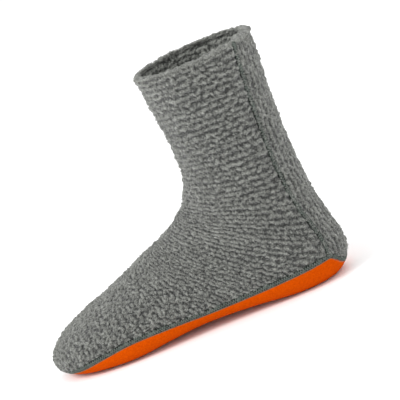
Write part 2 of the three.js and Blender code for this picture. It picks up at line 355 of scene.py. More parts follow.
# behind the heel the edge drops to below the floor
edge_curve = np.concatenate([edge_curve, [[-0.01 * LENGTH, -0.25 * SOLE_RISE]]])[::-1]


def above_sole(points):
    """Height over the sole's edge, in millimetres, measured on the side view."""
    return points[..., 2] - np.interp(points[..., 0], edge_curve[:, 0], edge_curve[:, 1])


def beside_back(s, points):
    """How far a point lies outside the back panel's slanting cut, in millimetres."""
    cut = cut_at(s)
    back = cut[..., [2, 3]]
    inward = unit(cut[..., [0, 1]] - back)
    deep = ((points[..., [0, 2]] - back) * inward).sum(-1)
    slope = PANEL_HALF / PANEL_TAPER
    outside = np.abs(points[..., 1]) - slope * (PANEL_WRAP + PANEL_TAPER - deep)
    return np.where(s > UNDER_HEEL, LENGTH, outside)


def first_below(values, angles):
    """For each row of values, the angle where they first fall below zero, by straight lines between
    the samples. Where they never do, the last angle."""
    below = values < 0
    found = np.where(below.any(1), below.argmax(1), len(angles) - 1)
    found = np.maximum(found, 1)
    row = np.arange(len(values))
    v0, v1 = values[row, found - 1], values[row, found]
    share = np.clip(v0 / np.where(v0 == v1, 1, v0 - v1), 0, 1)
    made = angles[found - 1] + share * (angles[found] - angles[found - 1])
    return np.where(below.any(1), made, angles[-1])


print("the sole's edge reaches", round(edge_curve[:, 1].max(), 1), "mm up")

# %% Border angles of the panels
ALL_ANGLES = np.linspace(0, np.pi, 721)


def upper_border(s):
    """Half angle of the upper at each place: up to the back panel's cut or the sole's edge."""
    points = outline(s[:, None], ALL_ANGLES[None])
    free = np.minimum(above_sole(points), beside_back(s[:, None], points))
    return first_below(free, ALL_ANGLES)


def back_border(s):
    """Half angle where the back panel begins, found from the back line towards the front."""
    points = outline(s[:, None], ALL_ANGLES[None])
    inside = np.minimum(above_sole(points), -beside_back(s[:, None], points))
    return first_below(inside[:, ::-1], ALL_ANGLES[::-1])


# %% Places where the borders meet
def crossing(function, low, high):
    """Where a function of place changes sign, by halving."""
    sign = function(low) > 0
    for _ in range(40):
        middle = (low + high) / 2
        if (function(middle) > 0) == sign:
            low = middle
        else:
            high = middle
    return (low + high) / 2


def edge_at_back(s):
    """Height of the back line, or of the line under the foot, over the sole's edge."""
    return float(above_sole(outline(np.array([s]), np.pi))[0])


def corner_height(s):
    """Height over the sole's edge of the point where the back panel's cut meets the surface."""
    points = outline(np.array([[s]]), ALL_ANGLES[None])
    wedge = first_below(beside_back(np.array([[s]]), points), ALL_ANGLES)[0]
    return float(above_sole(outline(np.array([s]), wedge))[0])


HEEL_PLACE = crossing(edge_at_back, 4.5, 7.5)
TOE_PLACE = crossing(edge_at_back, LAST - 1.5, LAST - 1e-3)
CORNER_PLACE = crossing(corner_height, 4.0, 8.0)
print("the sole begins at place", round(HEEL_PLACE, 3), "and ends at", round(TOE_PLACE, 3))
print("the back seams end at place", round(CORNER_PLACE, 3))

# %% [markdown]
# ## Curly pile
# The fleece is knitted in rows, and along each row the pile stands in small tufts about 3 mm wide.
# Particle hair could draw every fibre, but it is heavy and is lost when the model is exported. Here
# the tufts are the shape of the cloth itself: on a grid of rows and columns, each cell holds one tuft
# that is moved, turned and sized at random, and the cloth is as high as the highest tuft over it.


# %% Noise that is the same each time
def scatter(i, j, seed):
    """A number from 0 to 1 that looks random but is the same each time: the fraction of a large sine."""
    wave = np.sin(i * 127.1 + j * 311.7 + seed * 74.7) * 43758.5453
    return wave - np.floor(wave)


def rolling(x, y, scale, seed):
    """Smooth noise from 0 to 1: random corners of a square grid, blended by 3t2 - 2t3."""
    x, y = x / scale, y / scale
    i, j = np.floor(x), np.floor(y)
    u, v = x - i, y - j
    u, v = u * u * (3 - 2 * u), v * v * (3 - 2 * v)
    low = scatter(i, j, seed) * (1 - u) + scatter(i + 1, j, seed) * u
    high = scatter(i, j + 1, seed) * (1 - u) + scatter(i + 1, j + 1, seed) * u
    return low * (1 - v) + high * v


sample = rolling(np.arange(400.0), 0.0, 3.0, 1)
print("rolling noise runs from", round(sample.min(), 2), "to", round(sample.max(), 2))

# %% One tuft
# each pair is the least size and what chance can add: half sizes in millimetres, and shares of the height
TUFT_LONG, TUFT_WIDE, TUFT_TALL, CURL_SHARE = (1.9, 1.0), (1.6, 0.7), (0.64, 0.36), (0.78, 0.22)
TUFT_TURN = (1.8, 2.4)  # radians over which tufts turn, and more where the pile is loose
CURL_TURNS = 7  # radians that the curl's wave runs on from the middle to the edge


def one_tuft(x, y, chances, droop, loose):
    """Height of one tuft at x along and y across from its middle: a dome, the root of 1 - distance
    squared, that is steeper on the side to which it hangs, times a curl, a spiral wave that runs out
    from its middle. chances are its random numbers."""
    one, two, three, four = chances
    turn = (TUFT_TURN[0] + TUFT_TURN[1] * loose) * (three - 0.5)
    cos, sin = np.cos(turn), np.sin(turn)
    wide = TUFT_WIDE[0] + TUFT_WIDE[1] * one
    u = (x * cos + y * sin) / (TUFT_LONG[0] + TUFT_LONG[1] * four)
    v = (y * cos - x * sin) / np.where(y > 0, wide * (1 - droop), wide)
    far = u * u + v * v
    curl = 0.5 + 0.5 * np.cos(np.arctan2(v, u) + CURL_TURNS * np.sqrt(far) + 6.3 * two)
    tall = TUFT_TALL[0] + TUFT_TALL[1] * four
    return np.sqrt(np.maximum(1 - far, 0)) * tall * (CURL_SHARE[0] + CURL_SHARE[1] * curl)


middle_height = one_tuft(0.0, 0.0, (0.5, 0.5, 0.5, 0.5), 0.0, 0.0)
print("the middle of a usual tuft is", round(float(middle_height), 2), "high")

# %% Height of the pile
ROW_SPACING = 5.1  # millimetres from row to row
TUFT_SPACING = 2.6  # millimetres from tuft to tuft in a row
STRAY_ALONG, STRAY_ACROSS = 0.7, 0.45  # shares of a spacing that a tuft is moved by, from end to end
ROW_WANDER = ((2.6, 15.0, 5), (1.3, 5.0, 6))  # millimetres that rows wander, over what length, and seed
LOW_NOISE = 0.28  # height between the tufts, at most
TUFT_SHARE, FINE_SHARE = 0.84, 0.36  # of the tufts and of the fine noise on them


def pile(along, across, stretch=1.0, seed=0.0, droop=0.3, loose=0.0):
    """Height from 0 to 1 of a tufted cloth. along: millimetres along a row. across: millimetres across
    the rows. stretch: how much wider the rows stand where the cloth is pulled. droop: how far the tufts
    hang to one side. loose: how far, from 0 to 1, they stray from their rows. The height is that of the
    highest of the nine tufts about a point, or of a low noise between them, with fine noise on top."""
    height = LOW_NOISE * rolling(along, across, 1.7, seed + 9)
    for size, scale, extra in ROW_WANDER:
        across = across + size * (rolling(along, across, scale, seed + extra) - 0.5)
    base_row = np.floor(across / ROW_SPACING)
    for row_step in (-1, 0, 1):
        row = base_row + row_step
        shift = TUFT_SPACING * scatter(row, 3.0, seed)
        base_tuft = np.floor((along - shift) / TUFT_SPACING)
        for tuft_step in (-1, 0, 1):
            tuft = base_tuft + tuft_step
            chances = [scatter(tuft, row, seed + k) for k in (1, 2, 3, 4)]
            x = along - shift - TUFT_SPACING * (tuft + 0.5 + STRAY_ALONG * (chances[0] - 0.5))
            stray = STRAY_ACROSS + STRAY_ACROSS * loose
            middle = ROW_SPACING * (row + 0.5 + stray * (chances[1] - 0.5))
            y = (across - middle) * stretch**0.4 - droop
            height = np.maximum(height, one_tuft(x, y, chances, droop, loose))
    fine = rolling(along, across, 1.2, seed + 7) * 0.5 + rolling(along, across, 0.7, seed + 8) * 0.5
    return np.clip(TUFT_SHARE * height + FINE_SHARE * (fine - 0.4), 0, 1)


patch = pile(*np.meshgrid(np.arange(0, 40, 0.5), np.arange(0, 40, 0.5)))
print("mean height of the pile", round(patch.mean(), 2), "with a spread of", round(patch.std(), 2))

# %% [markdown]
# ## Closed shells
# A panel of cloth has two faces and an edge. The outer face is a fine grid that carries the pile.
# The inner face never shows its pile through the cloth, so it is a grid four times coarser, and a
# strip of triangles along the border joins the two. Solidify could add a wall too, but it would copy
# the whole pile to the inside and double the triangles.

# %% Faces between grids
COARSER = 4  # the inner face has every fourth row and column of the outer one
EVERY_FOURTH = (slice(None, None, COARSER), slice(None, None, COARSER))
INNER_PILE = 0.35  # level of the pile that the material reads on an inner face


def border_strip(front, back):
    """Triangles between a fine line of points and a coarse one that has every fourth of its places: the
    first half of each coarse step fans from its left end, the second half from its right end."""
    n = np.arange(len(back) - 1)
    fine = [front[n * COARSER + i] for i in range(COARSER + 1)]
    left, right, half = back[n], back[n + 1], COARSER // 2
    made = [np.stack([left, fine[i], fine[i + 1]], 1) for i in range(half)]
    made.append(np.stack([left, fine[half], right], 1))
    made += [np.stack([right, fine[i], fine[i + 1]], 1) for i in range(half, COARSER)]
    return np.concatenate(made)


def grid_quads(ids):
    """The four corners of every cell of a grid of point numbers."""
    corners = [ids[:-1, :-1], ids[:-1, 1:], ids[1:, 1:], ids[1:, :-1]]
    return np.stack(corners, -1).reshape(-1, 4)


def tube_faces(rings, around, closed):
    """Quads between rings of points, and a fan of triangles on each open end."""
    ids = np.arange(rings * around).reshape(rings, around)
    after = np.roll(ids, -1, axis=0)
    corners = [ids, after, np.roll(after, -1, axis=1), np.roll(ids, -1, axis=1)]
    cells = np.stack(corners, -1)
    if closed:
        return [cells.reshape(-1, 4)]
    n = np.arange(1, around - 1)
    fans = [np.stack([np.full(len(n), row[0]), row[n], row[n + 1]], 1) for row in (ids[0], ids[-1])]
    return [cells[:-1].reshape(-1, 4), np.concatenate(fans)]


one_step = border_strip(np.arange(COARSER + 1), np.arange(2))
print("one coarse step of a border is joined by", len(one_step), "triangles")


# %% Put points and faces into a mesh
def turn_outwards(mesh):
    """Face directions from the mesh itself, turned if its volume comes out negative. Gives the number
    of edges that don't have exactly two faces, which is 0 on a closed shell."""
    work = bmesh.new()
    work.from_mesh(mesh)
    bmesh.ops.recalc_face_normals(work, faces=work.faces)
    if work.calc_volume(signed=True) < 0:
        bmesh.ops.reverse_faces(work, faces=work.faces)
    odd_edges = sum(1 for edge in work.edges if len(edge.link_faces) != 2)
    work.to_mesh(mesh)
    work.free()
    return odd_edges


def make_mesh(name, points, faces, material, level):
    """A mesh object from points in metres and arrays of faces. level is the height of the pile that the
    material reads, one number or one for each point. Points that no face uses are left out."""
    flat = np.concatenate([part.ravel() for part in faces])
    kept, corners = np.unique(flat, return_inverse=True)
    points = points[kept]
    level = np.broadcast_to(level, len(kept)) if np.ndim(level) == 0 else level[kept]
    sizes = np.concatenate([np.full(len(part), part.shape[1]) for part in faces])
    mesh = bpy.data.meshes.new(name)
    mesh.vertices.add(len(points))
    mesh.vertices.foreach_set("co", points.astype(np.float32).ravel())
    mesh.loops.add(len(corners))
    mesh.loops.foreach_set("vertex_index", corners.astype(np.int32))
    mesh.polygons.add(len(sizes))
    mesh.polygons.foreach_set("loop_start", (np.cumsum(sizes) - sizes).astype(np.int32))
    mesh.update(calc_edges=True)
    mesh.validate()
    # the stored pile height drives the material's painted shade in the gaps and painted highlight on the
    # tops
    stored = mesh.attributes.new("pile", "FLOAT", "POINT")
    stored.data.foreach_set("value", level.astype(np.float32))
    odd_edges = turn_outwards(mesh)
    mesh.polygons.foreach_set("use_smooth", np.ones(len(mesh.polygons), bool))
    mesh.materials.append(material)
    size = 1000 * (points.max(0) - points.min(0))
    print(name, int((sizes - 2).sum()), "triangles,", odd_edges, "odd edges,", size.round(1), "mm")
    return add_object(name, mesh)


# %% Point numbers and cells of a panel
def face_ids(points, first_id, step, first_closed, start_tip, tip):
    """Point numbers of one face of a panel. From the row first_closed on, the last column is the first
    one, and a tip is one single point."""
    rows, columns = points.shape[:2]
    ids = first_id + np.arange(rows * columns).reshape(rows, columns)
    closed = math.ceil(first_closed / step)
    ids[closed:, -1] = ids[closed:, 0]
    if tip:
        ids[-1, :] = ids[-1, 0]
    if start_tip:
        ids[0, :] = ids[0, 0]
    return ids


def cut_cells(quads):
    """Cells with four corners, and those with two corners in one point as triangles."""
    doubled = (np.diff(np.sort(quads, 1), axis=1) == 0).any(1)
    bent = quads[doubled]
    triangles = []
    for drop in range(4):
        same = bent[:, drop] == bent[:, (drop + 1) % 4]
        triangles.append(np.delete(bent[same], drop, axis=1))
    return quads[~doubled], np.concatenate(triangles)


small = face_ids(np.zeros((3, 3, 3)), 0, 1, 3, False, True)
print("a grid of 3 by 3 that ends in a tip has", len(np.unique(small)), "points")


# %% Close two grids to one shell
def shell(
    name, front, back, material, height, ring=False, closed_from=None, tip=False, start_tip=False
):
    """A closed shell. front: rows by columns of points in millimetres. back: the same at every fourth
    row and column. ring: the last column is the first one. closed_from: from this row on, it is.
    tip and start_tip: the last or the first row is one point."""
    rows = len(front)
    first_closed = 0 if ring else rows if closed_from is None else closed_from
    front_ids = face_ids(front, 0, 1, first_closed, start_tip, tip)
    back_ids = face_ids(back, front_ids.size, COARSER, first_closed, start_tip, tip)
    last_open = min(first_closed, rows - 1)
    borders = []
    if last_open > 0:
        fine, coarse = front_ids[: last_open + 1], back_ids[: last_open // COARSER + 1]
        borders += [(fine[:, 0], coarse[:, 0]), (fine[:, -1], coarse[:, -1])]
    if not start_tip:
        borders.append((front_ids[0], back_ids[0]))
    if not tip:
        borders.append((front_ids[-1], back_ids[-1]))
    quads, cut = cut_cells(np.concatenate([grid_quads(front_ids), grid_quads(back_ids)]))
    triangles = np.concatenate([border_strip(*border) for border in borders] + [cut])
    triangles = triangles[(np.diff(np.sort(triangles, 1), axis=1) > 0).all(1)]
    points = to_row_frame(np.concatenate([front.reshape(-1, 3), back.reshape(-1, 3)]))
    level = np.concatenate([np.ravel(height), np.full(back_ids.size, INNER_PILE)])
    return make_mesh(name, points, [quads, triangles], material, level)


# %% Even steps along and round the cloth
def lengths(points, axis):
    """Running length along one axis of a grid of points, starting at zero."""
    steps = np.linalg.norm(np.diff(points, axis=axis), axis=-1)
    padding = [(0, 0)] * steps.ndim
    padding[axis] = (1, 0)
    return np.cumsum(np.pad(steps, padding), axis=axis)


def even_angles(s, low, high, count):
    """For each place s, count angles from low to high that stand evenly along the cut: the running
    length is read backwards, as angle over length. Each row is moved on by two, so that one reading
    does for all rows."""
    share = np.linspace(0, 1, 360)
    angles = low[:, None] + (high - low)[:, None] * share
    run = lengths(outline(s[:, None], angles), 1)
    run = run / np.maximum(run[:, -1:], 1e-9)
    step = 2.0 * np.arange(len(s))[:, None]
    wanted = np.linspace(0, 1, count)[None] + step
    return np.interp(wanted.ravel(), (run + step).ravel(), angles.ravel()).reshape(len(s), count)


def even_places(low, high, angle, spacing):
    """Places along the sock that stand evenly along the line at one angle, a multiple of four steps."""
    dense = np.linspace(low, high, 4000)
    run = lengths(outline(dense, np.full_like(dense, angle)), 0)
    count = max(int(round(run[-1] / spacing / COARSER)), 1) * COARSER
    return np.interp(np.linspace(0, run[-1], count + 1), run, dense)


SIDE_ANGLE = 1.45  # the line along the near side on which places are spread evenly
side_line = outline(np.linspace(0, LAST, 400), np.full(400, SIDE_ANGLE))
print("along its side the sock has", round(lengths(side_line, 0)[-1]), "mm of cloth")

# %% [markdown]
# ## Finishes
# All the cloths share one effect: painted shade darkens the colour in the gaps of the pile and a painted
# highlight pales its tops, and the colour wanders a little from place to place. It is a group of nodes
# with named inputs, so that each cloth sets its own colours. The pile itself is geometry, and only the
# fibres on it are a bump.


# %% Helpers for nodes
def new_group(name, inputs, outputs):
    """An empty shader node group with the named sockets, its nodes and its two ends."""
    group = bpy.data.node_groups.new(name, "ShaderNodeTree")
    for title, kind, value in inputs:
        socket = group.interface.new_socket(title, in_out="INPUT", socket_type=kind)
        socket.default_value = value
    for title, kind in outputs:
        group.interface.new_socket(title, in_out="OUTPUT", socket_type=kind)
    return group, group.nodes.new("NodeGroupInput"), group.nodes.new("NodeGroupOutput")


def node(tree, kind, links=None, **settings):
    """A node with its settings, and with its named or numbered inputs linked or set."""
    made = tree.nodes.new(kind)
    for title, value in settings.items():
        setattr(made, title, value)
    for title, value in (links or {}).items():
        if isinstance(value, bpy.types.NodeSocket):
            tree.links.new(value, made.inputs[title])
        else:
            made.inputs[title].default_value = value
    return made


# %% Short forms of three nodes
def maths(tree, operation, *values):
    """The result of one Math node."""
    return node(tree, "ShaderNodeMath", dict(enumerate(values)), operation=operation).outputs[0]


def mixed_colour(tree, share, first, second):
    """The first colour where share is 0 and the second where it is 1. A Mix node has its colours in
    its inputs 6 and 7, and the mixed colour in its output 2."""
    links = {0: share, 6: first, 7: second}
    return node(tree, "ShaderNodeMix", links, data_type="RGBA").outputs[2]


def share_between(tree, value, low, high):
    """0 at low and below, 1 at high and above, and a straight line between."""
    links = {"Value": value, "From Min": low, "From Max": high}
    return node(tree, "ShaderNodeMapRange", links).outputs[0]


# %% Sockets of the shared cloth shading
cloth_group, ends, results = new_group(
    "pile shading",
    [
        ("Pile", "NodeSocketFloat", 0.5),
        ("Gap Shade Color", "NodeSocketColor", (0.02, 0.02, 0.02, 1)),
        ("Middle Color", "NodeSocketColor", (0.15, 0.15, 0.15, 1)),
        ("Top Highlight Color", "NodeSocketColor", (0.3, 0.3, 0.3, 1)),
        ("Patches", "NodeSocketFloat", 0.12),
        ("Lock Scale", "NodeSocketFloat", 600.0),
        ("Fibre Scale", "NodeSocketFloat", 900.0),
        ("Fibre Strength", "NodeSocketFloat", 0.5),
    ],
    [("Color", "NodeSocketColor"), ("Roughness", "NodeSocketFloat"), ("Normal", "NodeSocketVector")],
)
print("the cloth shading takes", len(ends.outputs) - 1, "values and gives", len(results.inputs) - 1)

# %% [markdown]
# Wool fibres cling together in locks about 1.5 mm wide. A Voronoi texture gives cells of that size,
# but their borders are straight, so the place that it reads is first pushed about by a noise. Locks
# and fine flecks added together are the tangle, which serves the colour and the bump alike: in the
# colour it is painted shade where the tangle is low and painted highlight where it is high.

# %% Tangle of the fibres
WARP_SIZE = 0.0035  # metres, and the noise pushes a place by half of it at most
WARP_SCALE = 420.0
coords = node(cloth_group, "ShaderNodeTexCoord").outputs["Object"]
warp = node(cloth_group, "ShaderNodeTexNoise", {"Vector": coords, "Scale": WARP_SCALE, "Detail": 1.0})
links = {0: warp.outputs["Color"], 1: (0.5, 0.5, 0.5)}
warp_centred = node(cloth_group, "ShaderNodeVectorMath", links, operation="SUBTRACT")
links = {0: warp_centred.outputs[0], "Scale": WARP_SIZE}
warp_small = node(cloth_group, "ShaderNodeVectorMath", links, operation="SCALE")
links = {0: coords, 1: warp_small.outputs[0]}
warped = node(cloth_group, "ShaderNodeVectorMath", links, operation="ADD").outputs[0]
links = {"Vector": warped, "Scale": ends.outputs["Lock Scale"]}
locks = node(cloth_group, "ShaderNodeTexVoronoi", links, feature="F1")
links = {"Vector": warped, "Scale": ends.outputs["Fibre Scale"], "Detail": 3.0, "Roughness": 0.6}
flecks = node(cloth_group, "ShaderNodeTexNoise", links)
lock_top = maths(cloth_group, "SUBTRACT", 1.0, locks.outputs["Distance"])
tangle = maths(cloth_group, "ADD", lock_top, flecks.outputs["Fac"])
print("the tangle is made of", len(cloth_group.nodes) - 2, "nodes")

# %% [markdown]
# The level of a point is the height of its pile plus some of the tangle. From the gaps up to the
# middle the colour goes from nearly black to grey, which is painted shade, and from there to the tops it
# pales, which is painted highlight. Patches of some 20 mm are a little lighter or darker, as on any
# brushed cloth.

# %% Colour with painted shade and highlight, roughness and bump from the tangle
TANGLE_SHARE, TANGLE_LEVEL = 0.7, -0.81  # the second takes off the mean of the first times the tangle
# the gaps take the painted shade colour, and the tops the painted highlight colour
LOW_LEVELS, HIGH_LEVELS = (0.02, 0.54), (0.45, 1.05)  # where gaps turn to middle, and middle to tops
PATCH_SCALE, PATCH_GAIN = 45.0, 4.0
patches = node(cloth_group, "ShaderNodeTexNoise", {"Vector": coords, "Scale": PATCH_SCALE, "Detail": 2.0})
tangle_share = maths(cloth_group, "MULTIPLY_ADD", tangle, TANGLE_SHARE, TANGLE_LEVEL)
level = maths(cloth_group, "ADD", ends.outputs["Pile"], tangle_share)
low_part = share_between(cloth_group, level, *LOW_LEVELS)
high_part = share_between(cloth_group, level, *HIGH_LEVELS)
# painted shade in the gaps, then the middle colour, then painted highlight on the tops
gap_shade, mid, top = (ends.outputs[title] for title in ("Gap Shade Color", "Middle Color", "Top Highlight Color"))
gap_shade_mix = mixed_colour(cloth_group, low_part, gap_shade, mid)
top_highlight_mix = mixed_colour(cloth_group, high_part, gap_shade_mix, top)
centred = maths(cloth_group, "SUBTRACT", patches.outputs["Fac"], 0.5)
swing = maths(cloth_group, "MULTIPLY", centred, ends.outputs["Patches"])
brightness = maths(cloth_group, "MULTIPLY_ADD", swing, PATCH_GAIN, 1.0)
links = {"Color": top_highlight_mix, "Value": brightness}
toned = node(cloth_group, "ShaderNodeHueSaturation", links).outputs["Color"]
links = {"Value": level, "To Min": 1.0, "To Max": 0.82}
rough = node(cloth_group, "ShaderNodeMapRange", links).outputs[0]
links = {"Height": tangle, "Strength": ends.outputs["Fibre Strength"], "Distance": 0.001}
bumped = node(cloth_group, "ShaderNodeBump", links).outputs["Normal"]
for title, socket in (("Color", toned), ("Roughness", rough), ("Normal", bumped)):
    cloth_group.links.new(socket, results.inputs[title])
print("the cloth shading has", len(cloth_group.nodes), "nodes")


# %% A cloth with its own colours
def linear(red, green, blue):
    """A colour given from 0 to 255 as seen on screen, in the linear light that shaders use: a twelfth
    of it near black, and above that its power of 2.4."""
    values = np.array([red, green, blue]) / 255
    made = np.where(values <= 0.04045, values / 12.92, ((values + 0.055) / 1.055) ** 2.4)
    return (*made.tolist(), 1.0)


def cloth_material(name, gap_shade, middle, top, patches, fibre_scale, fibre_strength, sheen, specular=0.15):
    """A matt cloth: the shared shading with its own colours, with painted shade in the gaps and a painted
    highlight on the tops, and a soft sheen from the loose fibres.
    """
    material = bpy.data.materials.new(name)
    material.use_nodes = True
    tree = material.node_tree
    shader = tree.nodes["Principled BSDF"]
    pile_height = node(tree, "ShaderNodeAttribute", attribute_name="pile").outputs["Fac"]
    values = {
        "Pile": pile_height,
        "Gap Shade Color": linear(*gap_shade),
        "Middle Color": linear(*middle),
        "Top Highlight Color": linear(*top),
        "Patches": patches,
        "Lock Scale": 0.55 * fibre_scale,
        "Fibre Scale": fibre_scale,
        "Fibre Strength": fibre_strength,
    }
    shading = node(tree, "ShaderNodeGroup", values, node_tree=cloth_group)
    for title, socket in (("Color", "Base Color"), ("Roughness", "Roughness"), ("Normal", "Normal")):
        tree.links.new(shading.outputs[title], shader.inputs[socket])
    shader.inputs["Specular IOR Level"].default_value = specular
    shader.inputs["Sheen Weight"].default_value = sheen
    shader.inputs["Sheen Roughness"].default_value = 0.6
    print("cloth", name, "gaps", gap_shade, "middle", middle, "tops", top)
    return material


# %% [markdown]
# ## The upper
# One panel wraps the front of the leg and the foot. Its rows follow the cuts of the form, so they fan
# round the ankle as the real rows do. A fan of rows drawn by hand would fit as well, but a grid of
# places and angles gives it for nothing: each row of the grid is one cut.

# %% Finish and grid of the upper
fleece = cloth_material(
    "grey_fleece", (30, 32, 29), (118, 120, 114), (163, 165, 158), 0.1, 1100.0, 1.0, 0.45
)
FLEECE_TOP = 0.06  # place where the upper's fleece begins, just under the collar's edge
FINE_SPACING, QUICK_SPACING = 0.98, 1.6  # millimetres from point to point
UPPER_ROUND, TOP_MARGIN, FAR = 206, 3.0, 99  # millimetres
fine_spacing = FINE_SPACING
toe_end = LAST - 0.002
s_upper = even_places(FLEECE_TOP, toe_end, SIDE_ANGLE, fine_spacing)
# one row of the coarse grid has to stand where the upper begins to close under the toe
closed_row = int(round(np.searchsorted(s_upper, TOE_PLACE) / COARSER)) * COARSER
moved_from = [FLEECE_TOP, s_upper[closed_row], toe_end]
s_upper = np.interp(s_upper, moved_from, [FLEECE_TOP, TOE_PLACE, toe_end])
half_angle = np.where(s_upper >= TOE_PLACE - 1e-9, np.pi, upper_border(s_upper))
upper_columns = int(round(UPPER_ROUND / fine_spacing / COARSER)) * COARSER + 1
angles = even_angles(s_upper, -half_angle, half_angle, upper_columns)
s_grid = s_upper[:, None] + 0 * angles
base = outline(s_grid, angles)
print("the upper has", len(s_upper), "rows of", upper_columns, "points and closes at row", closed_row)

# %% [markdown]
# The pile needs millimetres along its rows and across them. Along is the length round each cut. Across
# is counted on a line along the side, where the rows keep their spacing, so in front of the ankle the
# rows crowd together, and over the instep they are pulled apart. How much is the stretch.

# %% Where the rows run on the upper
ROW_LINE = 1.8  # angle of the line on which the rows are counted
STRAY, STRAY_FROM, STRAY_OVER = 0.6, 7.5, 3.5  # how much, from which place on, over how many places
along = lengths(base, 1)
along = along - along[:, upper_columns // 2][:, None]
across = lengths(outline(s_upper, np.full_like(s_upper, ROW_LINE)), 0)[:, None] + 0 * angles
down_steps = np.linalg.norm(np.gradient(base, axis=0), axis=-1)
stretch = np.clip(down_steps / np.maximum(np.gradient(across, axis=0), 1e-6), 0.7, 1.5)
strayed = STRAY * np.clip((s_grid - STRAY_FROM) / STRAY_OVER, 0, 1)  # the pile is less orderly on the foot
from_edge = np.minimum(along - along[:, :1], along[:, -1:] - along)
# where the upper closes under the toe it has no edge, and the distance to one grows by 8 mm a place
under_toe = np.minimum(from_edge + 8 * (s_grid - TOE_PLACE), FAR)
from_edge = np.where(s_grid >= TOE_PLACE, under_toe, from_edge)
from_edge = np.minimum(from_edge, lengths(base, 0) + TOP_MARGIN)
print("stretch of the rows from", round(stretch.min(), 2), "to", round(stretch.max(), 2))

# %% [markdown]
# Close to the seams the pile is sewn flat and the cloth sinks. A few soft creases cross the bend of
# the ankle, placed where the photo shows them, and the cloth wanders by a slow noise.

# %% How the fleece is lifted
OUTER_WALL = 1.9  # millimetres of the wall that the outer panels take, the rest is the inner face
PILE_HEIGHT = 2.5
PILE_LEVEL = 0.55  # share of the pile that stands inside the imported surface
EDGE_SINK, EDGE_REACH = 0.9, 1.9  # millimetres


def sewn_flat(from_edge):
    """Share of the pile that stands: a quarter on the seam, all of it from 2.4 mm on."""
    return np.clip((from_edge - 0.5) / 1.9, 0.25, 1)


def sunk_edge(distance, depth, reach):
    """How far the cloth sinks at a distance from its sewn edge: a bell, exp of minus the square
    of the distance over its reach."""
    return depth * np.exp(-((distance / reach) ** 2))


def fleece_lift(height, from_edge):
    """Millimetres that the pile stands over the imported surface, less where the edge sinks."""
    stands = PILE_HEIGHT * (height - PILE_LEVEL * sewn_flat(from_edge))
    return stands - sunk_edge(from_edge, EDGE_SINK, EDGE_REACH)


print("sewn flat, the pile stands by", sewn_flat(0.0), "on a seam and by", sewn_flat(2.4), "beside it")


# %% Creases and slow waves
def creases(s, angle):
    """Soft folds across the front of the ankle, fading round the side. Each is a ridge between two
    troughs, or the other way round where its height is negative: 1 - x squared times a bell, where x
    counts from the fold's line in widths."""
    total = np.zeros(np.broadcast(s, angle).shape)
    for place, width, height, spread in CREASES:
        x = (s + 0.12 * np.sin(2.3 * angle + 5 * place) - place) / width
        total += height * (1 - x * x) * np.exp(-0.5 * x * x) * np.exp(-((angle / spread) ** 2))
    return total


def soft_waves(points, size, scale, seed):
    """A slow wander of the cloth, in millimetres, from two layers of rolling noise on its place."""
    one = rolling(points[..., 0] + 200, points[..., 2] + 0.7 * points[..., 1] + 200, scale, seed)
    two = rolling(points[..., 1] + 300, points[..., 2] - 0.5 * points[..., 0] + 300, scale * 0.6, seed + 3)
    return size * (one + 0.6 * two - 0.8)


def lumps(along, across, seed):
    """Millimetres that whole groups of tufts stand out or lie back."""
    return LUMP_SIZE * (rolling(along, across, LUMP_LENGTH, seed) - 0.5)


LUMP_SIZE, LUMP_LENGTH, WAVE_LENGTH = 0.8, 5.5, 30.0  # millimetres
WAVE_SEED = 11
# place along the sock, width in places, height in millimetres, how far round it runs in radians
CREASES = ((2.7, 0.4, -0.45, 1.0), (3.3, 0.4, 0.5, 1.1), (4.9, 0.5, 0.4, 0.8), (6.3, 0.6, -0.5, 0.7))
fold = creases(np.linspace(0, 8, 200), np.zeros(200))
print("creases from", round(fold.min(), 2), "to", round(fold.max(), 2), "mm")


# %% Make the upper
def inner_grid(s, angles, depth, floor=0.0):
    """Every fourth point of a panel, at a depth inside the surface."""
    s, angles = s[EVERY_FOURTH], angles[EVERY_FOURTH]
    return lifted(s, angles, np.full(s.shape, -depth), floor)


height = pile(along, across, stretch, loose=strayed) * sewn_flat(from_edge)
lift = fleece_lift(height, from_edge)
lift += creases(s_grid, np.abs(angles)) + soft_waves(base, 0.9, WAVE_LENGTH, WAVE_SEED)
lift += lumps(along, across, 15)
front = lifted(s_grid, angles, lift)
back = inner_grid(s_grid, angles, OUTER_WALL)
upper = shell("upper_fleece", front, back, fleece, height, closed_from=closed_row, tip=True)
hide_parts("upper")
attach(upper, "root")

# %% [markdown]
# ## Loose curls
# Over the tufts lie loose curls of wool, finer than the cloth's own grid can show. They catch the light,
# are painted pale as a painted highlight, and break the outline. Each is a short bent tube with three
# sides, laid on the pile at a random point and turned at random, and thousands of them are joined in one
# mesh.

# %% Roots and paths of the curls
CURL_STEPS = 6
CURL_RADIUS, CURL_OPENING = (0.65, 1.4), (2.2, 4.6)  # millimetres and radians, from and to
CURL_TILT = 0.62  # spread of the tilt out of the cloth, in radians
CURL_SHRINK = 0.45  # share of its radius that each arc loses towards its end
CURL_RISE, CURL_BULGE = 0.12, 0.25  # millimetres that a curl lies over the pile, and more in its middle


def curl_roots(random, front, height, low, high, count):
    """Random points of a panel's grid between two columns, more of them where the pile is high. With
    each, the way round the cut, the way along the sock, and the way out, which is their cross product."""
    row = random.integers(2, front.shape[0] - 3, 3 * count)
    column = random.integers(low, high, 3 * count)
    keep = random.random(3 * count) < np.clip(height[row, column] * 1.6 - 0.15, 0, 1)
    row, column = row[keep][:count], column[keep][:count]
    down = front[row + 2, column] - front[row - 2, column]
    side = front[row, column + 2] - front[row, column - 2]
    out = unit(np.cross(down, side))
    side = unit(side)
    return front[row, column], side, np.cross(out, side), out


